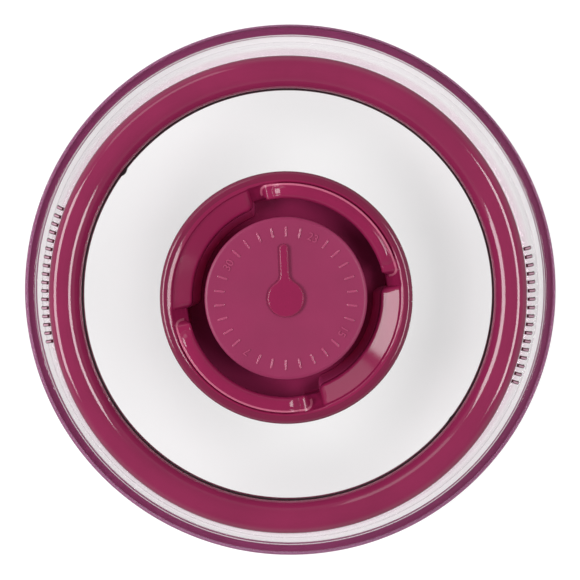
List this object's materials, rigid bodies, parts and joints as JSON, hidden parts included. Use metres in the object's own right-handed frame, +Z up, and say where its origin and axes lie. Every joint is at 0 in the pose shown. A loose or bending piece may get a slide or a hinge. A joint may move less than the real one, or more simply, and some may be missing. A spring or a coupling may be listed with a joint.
{
  "type": "vacuum food dome",
  "caption": "Clear round food cover with a press-down top in a soft ring, a finger handle and a turning date dial that is pressed to let air in.",
  "frame": {"origin": "centre of the base, on the surface that the dome stands on", "axes": "+Z up through the handle; +X to the right and +Y to the top of the picture"},
  "size_m": [0.23, 0.23, 0.08],
  "materials": {
    "clear_body": "clear, polished",
    "clear_window": "clear, polished",
    "seal_silicone": "smooth silicone",
    "ring_silicone": "glossy silicone",
    "handle_plastic": "glossy moulded",
    "base_plastic": "moulded",
    "dial_plastic": "fine matte",
    "pale_silicone": "translucent silicone",
    "screw_steel": "plain"
  },
  "bodies": {
    "dome": {"dome_shell": "clear_body", "base_seal": "seal_silicone", "press_ring": "ring_silicone"},
    "press_head": {"window_panel": "clear_window", "handle": "handle_plastic", "handle_base": "base_plastic", "handle_screws": "screw_steel", "panel_gasket": "pale_silicone", "lock_ring": "base_plastic", "check_valve": "pale_silicone", "button_spring": "screw_steel"},
    "release_button": {"release_button": "base_plastic", "stem_clip": "screw_steel", "pointer": "dial_plastic"},
    "date_dial": {"date_dial": "dial_plastic"}
  },
  "joints": [
    {"name": "press", "type": "slide", "parent": "dome", "child": "press_head", "axis": [0, 0, -1], "range_m": [0, 0.006], "stiffness_N_per_m": 3000, "springref_m": -0.0012, "deforming": ["press_ring"]},
    {"name": "release", "type": "slide", "parent": "press_head", "child": "release_button", "axis": [0, 0, -1], "range_m": [0, 0.002], "stiffness_N_per_m": 800, "springref_m": -0.0015, "deforming": ["button_spring", "check_valve"]},
    {"name": "dial_turn", "type": "hinge", "parent": "release_button", "child": "date_dial", "pos_m": [0, 0, 0.077], "axis": [0, 0, 1], "continuous": true}
  ]
}
